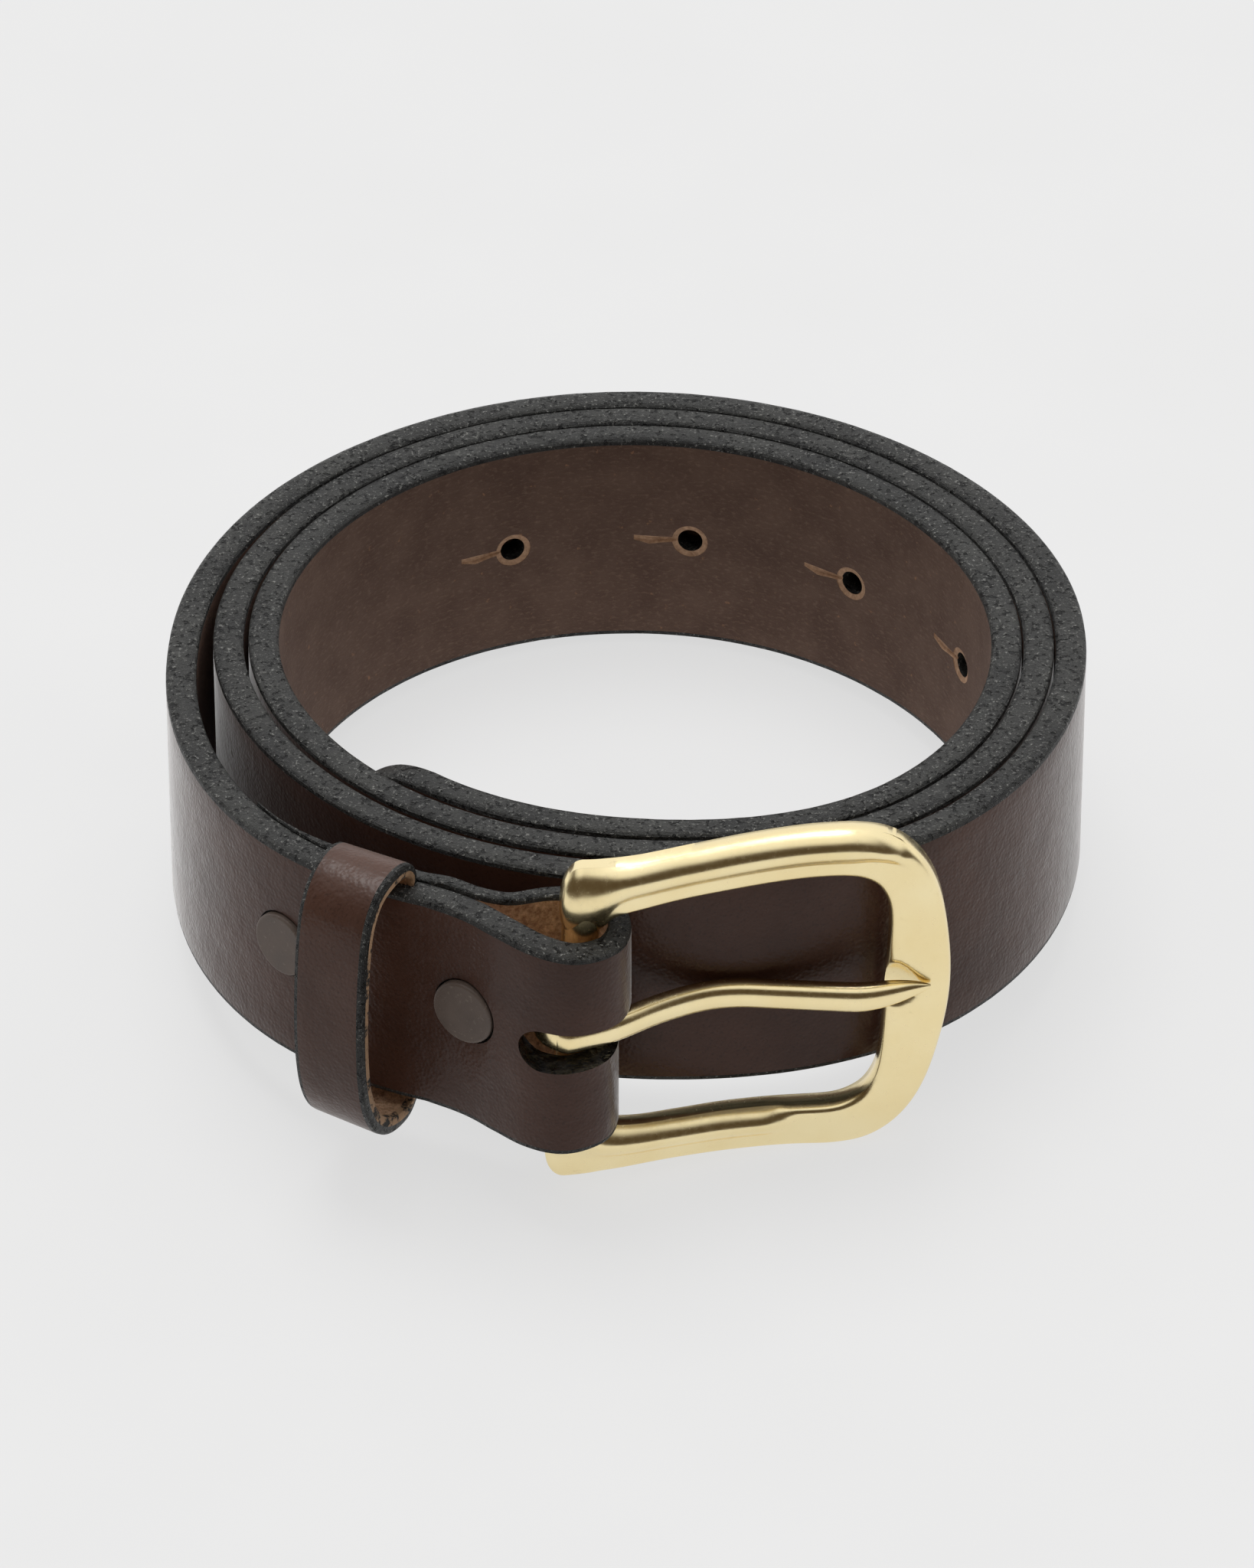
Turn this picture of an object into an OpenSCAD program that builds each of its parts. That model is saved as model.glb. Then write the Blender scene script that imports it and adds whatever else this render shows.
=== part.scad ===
// Leather belt, coiled three times round and standing on its lower edge.
// Everything is drawn with the strap upright, its lower edge on z = 0, and
// then the whole belt is tipped back so that the back of the coil and the
// lower corner of the buckle stand on the floor at z = 0.

/* [Strap] */
// Width of the strap
strap_w = 32; // [31:0.5:32]
// Thickness of the strap leather
strap_t = 4; // [3.4:0.1:4]
// Radius of the punched size holes
size_hole_r = 1.7; // [1.2:0.1:2.2]
// Number of size holes
size_hole_count = 5; // [3:1:5]
// Height of the slot that the prong swings in
prong_slot_h = 6; // [5.4:0.1:7]

/* [Buckle] */
// Radius of the heel bar
heel_bar_r = 2.4; // [2:0.1:2.4]
// Depth of the frame from front to back
frame_d = 5.2; // [4.4:0.1:5.2]
// Height of the prong
prong_h = 3.8; // [3.4:0.1:4.4]
// Depth of the prong
prong_d = 2.9; // [2.6:0.1:3.2]

/* [Keeper] */
// Width of the keeper loop along the strap
keeper_w = 10.4; // [8:0.1:12]
// Thickness of the keeper leather where it stands free
keeper_t = 2.4; // [1.6:0.1:2.4]

/* [Fasteners] */
// Radius of the flat cap on each post
cap_r = 4.4; // [4:0.1:4.7]
// Radius of each post's barrel
post_r = 2.5; // [2:0.1:2.6]

/* [Hidden] */

LEATHER = [0.24, 0.15, 0.12];
BRASS = [0.80, 0.64, 0.34];
STEEL = [0.62, 0.62, 0.64];
PAINTED = [0.23, 0.15, 0.13];

// ---------- resting pose ----------
// How far the belt leans back, with the buckle's lower corner under its front
rest_tilt = 5.1;
// Moves the middle of the footprint to x = 0, y = 0 and the floor to z = 0
rest_shift = [-2.1, -0.77, 5.76];

// ---------- the coil ----------
// Middle of the coil, seen from above
coil_middle = [3, 5];
// Distance of the strap's middle line from the middle of the coil, once every
// 45 degrees. It starts at the front and runs clockwise seen from above, and
// each later turn lies inside the one before it.
station_step = 45;
coil_r = [
    61.0, 63.5, 58.7, 57.1, 56.8, 56.5, 57.1, 57.0,
    52.3, 51.6, 53.0, 52.8, 52.6, 52.2, 52.9, 52.4,
    47.3, 46.7, 48.4, 48.6, 48.4, 48.0, 48.7, 48.0,
    42.6, 41.8, 43.6, 44.0
];
// Turn angles where the coil takes over from the fold, and where the tip is
coil_start = 24.5;
coil_end = 1140.5;
// Angle between two points of the coil's outline
coil_step = 6;
// Turn angle where the round end of the strap begins to be shaped
tip_start = 1116.5;
// Turn angle of the size hole nearest the buckle, and from hole to hole
first_hole_turn = 879.5;
size_hole_step = 30;

// Smooth step from 0 to 1
function ease(f) = f <= 0 ? 0 : f >= 1 ? 1 : (1 - cos(180 * f)) / 2;
// Smooth value between b and c, with a and d as their neighbours
function blend4(a, b, c, d, f) =
    b + f / 2 * ((c - a) + f * ((2 * a - 5 * b + 4 * c - d) + f * (3 * b - a - 3 * c + d)));
// Distance of the strap's middle line from the coil's middle at a turn angle
function coil_radius(turn) =
    let (i = floor(turn / station_step), f = turn / station_step - i)
    blend4(coil_r[max(i - 1, 0)], coil_r[i], coil_r[i + 1], coil_r[i + 2], f);
// The strap's middle line at a turn angle
function coil_point(turn) = coil_middle + coil_radius(turn) * [cos(270 - turn), sin(270 - turn)];
// Direction out of the coil, square to the strap
function coil_out(turn) =
    let (d = coil_point(turn + 0.5) - coil_point(turn - 0.5))
    [-d[1], d[0]] / norm(d);
// The coil's middle line, each point with the thickness of the leather
coil_line = [for (turn = [coil_start:coil_step:coil_end + 0.1])
    let (p = coil_point(turn)) [p[0], p[1], strap_t]];

// ---------- the fold round the heel bar ----------
// Middle of the heel bar, seen from above, at half the strap's width
heel = [-4.5, -57.5];
// The strap's middle line from the coil round the heel bar and back, each
// point with the thickness of the leather and its share of the sideways step
// between the two legs of the fold: [x, y, thickness, share]
fold_line = [
    [-17.5, -55.3, 4.0, 0], [-13.4, -58.9, 4.0, 0], [-9.2, -62.0, 4.0, 0.5], [-5.0, -63.1, 4.0, 0.9],
    [-1.1, -61.2, 3.6, 1], [0.35, -57.5, 3.0, 1], [-0.4, -53.9, 2.8, 1], [-3.6, -50.9, 2.5, 0.8],
    [-8.0, -51.1, 2.2, 0.4], [-12.6, -52.8, 2.0, 0], [-16.7, -51.6, 2.0, 0], [-20.4, -49.4, 2.0, 0]
];
// How far the upper leg lies to the right of the middle and the lower leg to
// the left, as the leaning heel bar pulls them
leg_step = 0.8;
// Points drawn between two points of the fold
fold_steps = 5;
// Turn angle where the folded end begins to follow the coil, and where it stops
return_start = 26;
return_end = 52;
return_step = 2;
// Thickness of the folded end behind the front layer, and the room between them
return_t = 2;
return_gap = 0.15;

return_line = [for (turn = [return_end:-return_step:return_start])
    let (p = coil_point(turn) - coil_out(turn) * (strap_t / 2 + return_gap + return_t / 2))
    [p[0], p[1], return_t]];
// The fold's strip laps a little way onto the coil's first stretch
join_point = coil_line[0] + 0.15 * (coil_line[1] - coil_line[0]);
// The points that the fold runs through; step is the leg's sideways step
function fold_ends(step) = concat(
    [return_line[len(return_line) - 2], return_line[len(return_line) - 1]],
    [for (i = [len(fold_line) - 1:-1:0]) let (p = fold_line[i]) [p[0] + step * p[3], p[1], p[2]]],
    [coil_line[0], coil_line[1]]);
// The fold, drawn smoothly through its points
function fold_smooth(ends) = [for (i = [1:len(ends) - 3], k = [0:fold_steps - 1]) if (i > 1 || k > 0)
    blend4(ends[i - 1], ends[i], ends[i + 1], ends[i + 2], k / fold_steps)];

// Point i of a line, moved sideways by a share of the thickness there
function side_point(line, i, share) =
    let (a = line[max(i - 1, 0)], b = line[min(i + 1, len(line) - 1)],
         d = [b[0] - a[0], b[1] - a[1]], n = [-d[1], d[0]] / norm(d))
    [line[i][0], line[i][1]] + n * line[i][2] * share;

// The same for a line that closes on itself
function ring_point(line, i, share) =
    let (count = len(line), a = line[(i + count - 1) % count], b = line[(i + 1) % count],
         d = [b[0] - a[0], b[1] - a[1]], n = [-d[1], d[0]] / norm(d))
    [line[i][0], line[i][1]] + n * line[i][2] * share;

// Outline of a strip of leather that follows a line
module strip(line) {
    last = len(line) - 1;
    polygon(concat([for (i = [0:last]) side_point(line, i, 0.5)],
                   [for (i = [last:-1:0]) side_point(line, i, -0.5)]));
}

// Stands its children on the strap at a turn angle: x outward, y along it
module at_turn(turn) {
    p = coil_point(turn);
    n = coil_out(turn);
    translate([p[0], p[1], 0]) rotate(atan2(n[1], n[0])) children();
}

// The slot that the prong swings in, round at its end on the front layer
module prong_slot() {
    r = prong_slot_h / 2;
    // middle of its round end, the cut's length to the right, and its depth
    // from in front of the fold to just behind the folded end
    round_x = -8.6;
    cut_l = 20;
    front_y = -70;
    cut_d = 22;
    translate([round_x, front_y, strap_w / 2]) rotate([-90, 0, 0]) cylinder(r = r, h = cut_d, $fn = 48);
    translate([round_x, front_y, strap_w / 2 - r]) cube([cut_l, cut_d, prong_slot_h]);
}

// What is left outside the half-round tip of the strap
module tip_waste() {
    r = strap_w / 2;
    reach = 30;
    // turn from the tip back to the middle of its round, and the cut's depth
    tip_turn = 22;
    cut_d = 16;
    at_turn(coil_end - tip_turn) translate([0, 0, r]) rotate([0, 90, 0]) linear_extrude(cut_d, center = true)
        difference() {
            translate([-reach, -reach]) square([2 * reach, reach]);
            circle(r = r, $fn = 72);
        }
}

module size_holes() {
    for (i = [0:size_hole_count - 1]) at_turn(first_hole_turn + i * size_hole_step)
        translate([0, 0, strap_w / 2]) rotate([0, 90, 0])
            cylinder(r = size_hole_r, h = strap_t + 0.3, center = true, $fn = 48);
}

// Shallow channel behind the front layer that takes the keeper's back
module keeper_channel() {
    side_gap = 0.3;
    past = 1;
    at_turn(keeper_turn) translate([-strap_t / 2 - past, -keeper_w / 2 - side_gap, -past])
        cube([past + channel_depth, keeper_w + 2 * side_gap, strap_w + 2 * past]);
}

// Bore for a post, with the shallow seat of its cap and the screw's recess
module post_seat(reach) {
    past = 4;
    recess_d = 1.8;
    foot = -reach - recess_d;
    translate([0, 0, foot]) cylinder(r = post_r + post_room, h = past - foot, $fn = 48);
    translate([0, 0, foot]) cylinder(r = screw_head_r + 2 * post_room, h = recess_d, $fn = 72);
    translate([0, 0, strap_t / 2 - cap_seat]) cylinder(r = cap_r + post_room, h = past, $fn = 72);
}

module strap() {
    tip_index = round((tip_start - coil_start) / coil_step);
    last = len(coil_line) - 1;
    color(LEATHER) difference() {
        union() {
            difference() {
                for (s = [0, 1]) translate([0, 0, s * strap_w / 2]) linear_extrude(strap_w / 2)
                    strip(concat(return_line, fold_smooth(fold_ends((2 * s - 1) * leg_step)),
                                 [coil_line[0], join_point]));
                prong_slot();
            }
            difference() {
                linear_extrude(strap_w) strip([for (i = [0:tip_index]) coil_line[i]]);
                keeper_channel();
            }
            difference() {
                linear_extrude(strap_w) strip([for (i = [tip_index - 1:last]) coil_line[i]]);
                tip_waste();
            }
        }
        size_holes();
        for (i = [0:1]) at_post(i) post_seat(posts[i][3]);
    }
}

// ---------- keeper ----------
// Turn angle of the keeper's middle
keeper_turn = 31.4;
// Depth of the channel cut for its back, and the thickness of that back
channel_depth = 1.65;
keeper_back_t = 1;
// Back face of the keeper, measured outward from the strap's middle line
keeper_back = -strap_t / 2 + 0.35;
keeper_mid = keeper_back + keeper_back_t / 2;
// The free part of the loop, from its upper end at the channel over the front
// to its lower end: [outward, up, share of the full thickness]
keeper_line = [
    [-1.5, 33.0, 0.6], [0.1, 34.8, 0.8], [3.4, 35.4, 1], [6.8, 34.4, 1], [9.2, 31.4, 1], [10.4, 26.6, 1],
    [11, 21, 1], [11.3, 15, 1], [11.1, 9.5, 1], [10.1, 4.4, 1], [8, 0.4, 1], [4.8, -2.1, 1], [1.3, -2.8, 0.8],
    [-1.0, -1.4, 0.5]
];
// Points drawn between two points of the loop
keeper_steps = 4;

function keeper_ends() = concat(
    [[keeper_mid, 28, keeper_back_t], [keeper_mid, 31, keeper_back_t]],
    [for (p = keeper_line) [p[0], p[1], p[2] * keeper_t]],
    [[keeper_mid, 1, keeper_back_t], [keeper_mid, 4, keeper_back_t]]);

// Stands its children on the keeper: x outward, y up, z along the strap
module at_keeper() {
    at_turn(keeper_turn) rotate([90, 0, 0]) children();
}

module keeper_loop() {
    ends = keeper_ends();
    last = len(ends) - 1;
    leg_room = 0.05;
    free = [for (i = [1:last - 2], k = [0:keeper_steps - 1])
        blend4(ends[i - 1], ends[i], ends[i + 1], ends[i + 2], k / keeper_steps)];
    ring = concat(free, [ends[last - 1], ends[last], ends[0]]);
    n = len(ring);
    color(LEATHER) difference() {
        at_keeper() linear_extrude(keeper_w, center = true) difference() {
            polygon([for (i = [0:n - 1]) ring_point(ring, i, 0.5)]);
            polygon([for (i = [0:n - 1]) ring_point(ring, i, -0.5)]);
        }
        at_keeper() for (s = [-1, 1]) staple_leg(s, leg_room);
    }
}

// ---------- staple that joins the keeper's ends ----------
staple_span = 8;
// Thickness and width of its wire, and the thickness of a leg
staple_wire = [0.36, 1.2];
staple_leg_t = 0.5;

// One leg through the keeper's back; s is 1 for the upper leg
module staple_leg(s, room = 0) {
    t = staple_leg_t + 2 * room;
    w = staple_wire[1] + 2 * room;
    past = 0.2;
    translate([keeper_back - past, (strap_w + s * staple_span - t) / 2, -w / 2])
        cube([keeper_back_t + 2 * past, t, w]);
}

module keeper_staple() {
    crown_l = staple_span + staple_leg_t;
    crown_x = keeper_back - staple_wire[0] - 0.05;
    hook_l = 2.4;
    hook_t = 0.2;
    hook_x = keeper_back + keeper_back_t + 0.03;
    hook_in = 0.8;
    color(STEEL) at_keeper() {
        translate([crown_x, (strap_w - crown_l) / 2, -staple_wire[1] / 2])
            cube([staple_wire[0], crown_l, staple_wire[1]]);
        for (s = [-1, 1]) {
            staple_leg(s);
            translate([hook_x, (strap_w - hook_l) / 2 + s * (staple_span / 2 - hook_in), -staple_wire[1] / 2])
                cube([hook_t, hook_l, staple_wire[1]]);
        }
    }
}

// ---------- posts and screws ----------
// Middle of the front layer at each post, the way its cap faces, and how far
// back its barrel reaches: [x, y, angle, reach]. The left post is the first.
posts = [[-40.2, -41.2, 227.5, 4.5], [-17.2, -55.5, 237, 6]];
post_z = 17.2;
// How deep the caps are set into the leather, and how thick they are
cap_seat = 0.4;
cap_t = 1.3;
screw_head_t = 1;
screw_head_r = 3.2;
// Room round each post in the leather
post_room = 0.1;

// Stands its children at a post, with z outward through the cap
module at_post(i) {
    translate([posts[i][0], posts[i][1], post_z]) rotate(posts[i][2]) rotate([0, 90, 0]) children();
}

module screw_post(i) {
    reach = posts[i][3];
    base = strap_t / 2 - cap_seat + 0.05;
    edge = 0.4;
    bore_r = 1.5;
    bore_past = 0.6;
    color(PAINTED) at_post(i) rotate_extrude($fn = 72) difference() {
        union() {
            translate([0, -reach]) square([post_r, reach + base + 0.1]);
            translate([0, base]) square([cap_r - edge, cap_t]);
            translate([0, base]) square([cap_r, cap_t - edge]);
            translate([cap_r - edge, base + cap_t - edge]) circle(r = edge, $fn = 32);
        }
        // blind bore that takes the screw, and all that crosses the axis
        translate([0, -reach - 1]) square([bore_r, reach + 1 + bore_past]);
        translate([-cap_r, 0]) square([cap_r, strap_t + cap_t]);
    }
}

module back_screw(i) {
    shank_r = 1.45;
    shank_l = 4;
    driver_slot = [0.8, 0.5];
    head = -posts[i][3] - 0.05 - screw_head_t;
    color(PAINTED) at_post(i) difference() {
        union() {
            translate([0, 0, head]) cylinder(r = screw_head_r, h = screw_head_t, $fn = 72);
            translate([0, 0, head]) cylinder(r = shank_r, h = screw_head_t + shank_l, $fn = 48);
        }
        translate([-driver_slot[0] / 2, -screw_head_r - 1, head - 1])
            cube([driver_slot[0], 2 * screw_head_r + 2, driver_slot[1] + 1]);
    }
}

// ---------- buckle ----------
// Lean of the frame to the right, seen from the front
frame_lean = 3;
// Height of the frame's middle above the strap's lower edge, at the heel bar
frame_z = 15.7;
// How far back the frame's middle sits, once every 7 mm from the heel bar
bow_step = 7;
frame_bow = [-0.6, 0, 1.4, 4.1, 6.6, 8.5, 9.6, 10.6, 11.6, 12.6];
// Upper half of the frame seen from the front, from the rounded end at the
// heel bar to the middle of the front bar, each point with its share of the
// full depth: [outer x, outer z, inner x, inner z, share]
frame_half = [
    [-2.6, 21.4, -2.6, 19.0, 0.35], [-2.2, 22.7, -2.2, 17.8, 0.7], [-1.2, 23.7, -1.2, 17.0, 0.92],
    [0.5, 24.1, 0.5, 16.8, 1], [4, 23.9, 4, 16.9, 1], [9, 23.9, 9, 17.2, 1], [14, 24.0, 14, 17.4, 1],
    [19, 24.2, 19, 17.5, 1], [24, 24.4, 24, 17.7, 1], [30, 24.6, 30, 17.9, 1], [34.5, 24.6, 33.6, 17.8, 1],
    [38.4, 23.8, 35.8, 17.2, 1], [41.6, 21.7, 37.6, 15.9, 1], [44.1, 18.4, 38.8, 13.6, 1],
    [45.8, 14.2, 39.3, 10.7, 0.96], [47.0, 8.6, 39.4, 6.5, 0.94], [47.7, 2.8, 39.4, 2.4, 0.92]
];
// Middle of the groove in the front bar where the prong's tip rests: [x, y]
prong_rest = [43.4, 7.7];
rest_r = 3.2;
rest_l = 12;

// How far back the frame's middle sits at distance x from the heel bar
function bow(x) =
    let (k = max(floor(x / bow_step) + 1, 1), f = x / bow_step + 1 - k)
    blend4(frame_bow[k - 1], frame_bow[k], frame_bow[k + 1], frame_bow[k + 2], f);

// Stands its children on the heel bar: x along the frame, z along the bar
module at_heel() {
    translate([heel[0], heel[1], frame_z]) rotate([0, frame_lean, 0]) children();
}

// The upper arm stands a little further out than the lower one
arm_lift = 0.4;
arm_cut = 0.6;
frame_line = concat(
    [for (p = frame_half) let (f = ease(p[0] / 8))
        [p[0], p[1] + arm_lift * f, p[2], p[3] + arm_lift * f, p[4]]],
    [for (i = [len(frame_half) - 1:-1:0]) let (p = frame_half[i], f = ease(p[0] / 8))
        [p[0], -p[1] + arm_cut * f, p[2], -p[3], p[4]]]);

// Section of the brass: flat behind, domed in front. The first number runs
// from -1 to 1 across it, the second from -0.5 in front to 0.5 behind.
section_n = 14;
function section_point(k) =
    let (a = 360 * k / section_n, c = cos(a), s = sin(a))
    [sign(c) * pow(abs(c), 0.8), s < 0 ? 0.5 * s : 0.5 * pow(s, 0.5)];

// A solid swept through rings of points
module swept(rings) {
    n = len(rings[0]);
    last = len(rings) - 1;
    polyhedron(
        points = [for (ring = rings, p = ring) p],
        faces = concat(
            [[for (k = [n - 1:-1:0]) k]],
            [for (i = [0:last - 1], k = [0:n - 1], j = [0, 1])
                let (a = i * n + k, b = i * n + (k + 1) % n)
                j == 0 ? [a, b, b + n] : [a, b + n, a + n]],
            [[for (k = [0:n - 1]) last * n + k]]));
}

module frame_bar() {
    swept([for (p = frame_line)
        [for (k = [0:section_n - 1])
            let (q = section_point(k), f = (1 + q[0]) / 2, x = p[2] + (p[0] - p[2]) * f)
            [x, bow((p[0] + p[2]) / 2) + q[1] * frame_d * p[4], p[3] + (p[1] - p[3]) * f]]]);
}

module buckle_frame() {
    arm_z = 20;
    color(BRASS) at_heel() difference() {
        union() {
            frame_bar();
            translate([0, 0, -arm_z]) cylinder(r = heel_bar_r, h = 2 * arm_z, $fn = 48);
        }
        // rest for the prong's tip
        translate([prong_rest[0] - rest_l / 2, prong_rest[1], prong_z]) rotate([0, 90, 0])
            cylinder(r = rest_r, h = rest_l, $fn = 48);
    }
}

// ---------- prong ----------
prong_gap = 0.05;
prong_ring_t = 2.2;
// Height of the prong's middle above the frame's middle
prong_z = 0.4;
// The prong's middle line seen from above, from its curl to its tip, with the
// share of its full size: [x, y, share]
prong_line = [
    [0, -3.1, 0.9], [4.8, -1.6, 1], [10.4, 2.5, 1], [16, 5.6, 1], [20.6, 6.8, 1],
    [26, 6.9, 1], [32, 6.9, 1], [37.2, 7.2, 1], [41.4, 8.1, 0.85], [45.8, 9.5, 0.45]
];
prong_steps = 3;
prong_smooth = [for (i = [0:len(prong_line) - 2], k = [0:prong_steps - 1])
    blend4(prong_line[max(i - 1, 0)], prong_line[i], prong_line[i + 1],
           prong_line[min(i + 2, len(prong_line) - 1)], k / prong_steps)];
prong_path = concat(prong_smooth, [prong_line[len(prong_line) - 1]]);

module prong_shaft() {
    last = len(prong_path) - 1;
    swept([for (i = [0:last])
        let (a = prong_path[max(i - 1, 0)], b = prong_path[min(i + 1, last)],
             d = [b[0] - a[0], b[1] - a[1]], n = [-d[1], d[0]] / norm(d), p = prong_path[i])
        [for (k = [0:section_n - 1])
            let (q = section_point(k), y = q[1] * prong_d * p[2])
            [p[0] + n[0] * y, p[1] + n[1] * y, q[0] * prong_h / 2 * p[2]]]]);
}

module prong() {
    bore_r = heel_bar_r + prong_gap;
    color(BRASS) at_heel() translate([0, 0, prong_z]) difference() {
        union() {
            prong_shaft();
            cylinder(r = bore_r + prong_ring_t, h = prong_h, center = true, $fn = 72);
        }
        cylinder(r = bore_r, h = 2 * prong_h, center = true, $fn = 72);
    }
}

// Tips the belt into its resting pose
module resting() {
    translate(rest_shift) rotate([-rest_tilt, 0, 0]) children();
}

resting() strap();
resting() keeper_loop();
resting() keeper_staple();
resting() buckle_frame();
resting() prong();
resting() screw_post(0);  // screw_post_left
resting() screw_post(1);  // screw_post_right
resting() back_screw(0);  // back_screw_left
resting() back_screw(1);  // back_screw_right
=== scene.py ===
"""Looks of a coiled leather belt with a brass buckle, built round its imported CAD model."""
import math
import bmesh
import bpy
from mathutils import Matrix, Vector, noise


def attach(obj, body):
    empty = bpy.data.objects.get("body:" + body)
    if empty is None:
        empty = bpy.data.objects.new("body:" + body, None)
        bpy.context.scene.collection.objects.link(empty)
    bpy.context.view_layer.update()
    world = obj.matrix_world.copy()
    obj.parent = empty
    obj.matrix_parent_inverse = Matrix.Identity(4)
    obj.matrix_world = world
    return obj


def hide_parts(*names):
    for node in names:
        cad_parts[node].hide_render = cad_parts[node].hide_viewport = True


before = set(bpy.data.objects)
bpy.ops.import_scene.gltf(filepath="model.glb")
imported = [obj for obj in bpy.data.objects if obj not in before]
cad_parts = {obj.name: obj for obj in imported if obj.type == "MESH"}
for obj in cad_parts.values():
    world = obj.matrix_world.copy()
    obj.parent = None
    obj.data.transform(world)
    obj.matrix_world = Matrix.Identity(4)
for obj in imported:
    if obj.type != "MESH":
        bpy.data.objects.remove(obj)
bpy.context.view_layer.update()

# ---------- the shared frame ----------
# Shapes are drawn in millimetres with the strap upright, its lower edge on
# z = 0, and RESTING then tips them into the pose that the belt stands in.
MM = 0.001
REST_TILT = math.radians(5.1)
REST_SHIFT = (-2.1, -0.77, 5.76)
RESTING = (
    Matrix.Scale(MM, 4) @ Matrix.Translation(REST_SHIFT) @ Matrix.Rotation(-REST_TILT, 4, "X")
)

# ---------- sizes, as in the CAD model ----------
STRAP_W = 32
STRAP_T = 4
TIP_R = STRAP_W / 2
HOLE_R = 1.7
HOLE_COUNT = 5
FIRST_HOLE_TURN = 879.5
HOLE_STEP = 30
COIL_MIDDLE = (3, 5)
STATION_STEP = 45
COIL_R = [
    61.0, 63.5, 58.7, 57.1, 56.8, 56.5, 57.1, 57.0,
    52.3, 51.6, 53.0, 52.8, 52.6, 52.2, 52.9, 52.4,
    47.3, 46.7, 48.4, 48.6, 48.4, 48.0, 48.7, 48.0,
    42.6, 41.8, 43.6, 44.0,
]
COIL_START = 24.5
COIL_JOIN = 30.5
TIP_MIDDLE_TURN = 1118.5
# The fold round the heel bar: x, y, thickness, share of the sideways step
FOLD_LINE = [
    (-17.5, -55.3, 4.0, 0), (-13.4, -58.9, 4.0, 0), (-9.2, -62.0, 4.0, 0.5),
    (-5.0, -63.1, 4.0, 0.9), (-1.1, -61.2, 3.6, 1), (0.35, -57.5, 3.0, 1),
    (-0.4, -53.9, 2.8, 1), (-3.6, -50.9, 2.5, 0.8), (-8.0, -51.1, 2.2, 0.4),
    (-12.6, -52.8, 2.0, 0), (-16.7, -51.6, 2.0, 0), (-20.4, -49.4, 2.0, 0),
]
LEG_STEP = 0.8
RETURN_TURNS = range(52, 25, -2)
RETURN_T = 2
RETURN_GAP = 0.15
SLOT_H = 6
HEEL = (-4.5, -57.5)
FRAME_Z = 15.7
FRAME_LEAN = math.radians(3)
HEEL_BAR_R = 2.4
HEEL_BAR_HALF = 19.5
FRAME_D = 5.2
PRONG_Z = 0.4
PRONG_H = 3.8
PRONG_D = 2.9
# Each post: x, y, direction of its cap, how far its bore reaches behind it
POSTS = [(-40.2, -41.2, 227.5, 4.5), (-17.2, -55.5, 237, 6)]
POST_Z = 17.2
KEEPER_TURN = 31.4
KEEPER_W = 10.4
KEEPER_T = 2.4


# ---------- curves ----------
def blend4(a, b, c, d, f):
    """Smooth value between b and c, with a and d as their neighbours."""
    return b + f / 2 * ((c - a) + f * ((2 * a - 5 * b + 4 * c - d) + f * (3 * b - a - 3 * c + d)))


def blend_points(points, steps):
    """Smooth line through the inner points of a list, without its last point."""
    line = []
    for i in range(1, len(points) - 2):
        near = points[i - 1:i + 3]
        for k in range(steps):
            line.append(tuple(blend4(*column, k / steps) for column in zip(*near)))
    return line


def ease(f):
    """Smooth step from 0 to 1."""
    f = min(max(f, 0.0), 1.0)
    return f * f * (3 - 2 * f)


def coil_radius(turn):
    """Distance of the strap's middle line from the middle of the coil."""
    i = int(turn // STATION_STEP)
    f = turn / STATION_STEP - i
    near = [COIL_R[max(i - 1, 0)]] + COIL_R[i:i + 3]
    return blend4(*near, f)


def coil_point(turn):
    """The strap's middle line at a turn angle, seen from above."""
    angle = math.radians(270 - turn)
    r = coil_radius(turn)
    return Vector((COIL_MIDDLE[0] + r * math.cos(angle), COIL_MIDDLE[1] + r * math.sin(angle)))


def coil_out(turn):
    """Direction out of the coil, square to the strap."""
    d = (coil_point(turn + 0.5) - coil_point(turn - 0.5)).normalized()
    return Vector((-d.y, d.x))


def at_turn(turn):
    """Frame of reference on the strap: x outward, y along it, z up."""
    p = coil_point(turn)
    n = coil_out(turn)
    outward = Matrix.Rotation(math.atan2(n.y, n.x), 4, "Z")
    return RESTING @ Matrix.Translation((p.x, p.y, 0)) @ outward


def at_post(post):
    """Frame of reference at a post, with z outward through its cap."""
    x, y, angle, _ = post
    turn = Matrix.Rotation(math.radians(angle), 4, "Z") @ Matrix.Rotation(math.pi / 2, 4, "Y")
    return RESTING @ Matrix.Translation((x, y, POST_Z)) @ turn


AT_HEEL = (
    RESTING @ Matrix.Translation((*HEEL, FRAME_Z)) @ Matrix.Rotation(FRAME_LEAN, 4, "Y")
)
AT_KEEPER = at_turn(KEEPER_TURN) @ Matrix.Rotation(math.pi / 2, 4, "X")


# ---------- mesh helpers ----------
def add_object(name, mesh, place, materials):
    """Puts a mesh drawn in millimetres in its place and gives it its materials."""
    solid = bmesh.new()
    solid.from_mesh(mesh)
    bmesh.ops.recalc_face_normals(solid, faces=solid.faces)
    solid.to_mesh(mesh)
    solid.free()
    mesh.transform(place)
    for material in materials:
        mesh.materials.append(material)
    obj = bpy.data.objects.new(name, mesh)
    bpy.context.scene.collection.objects.link(obj)
    return obj


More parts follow.
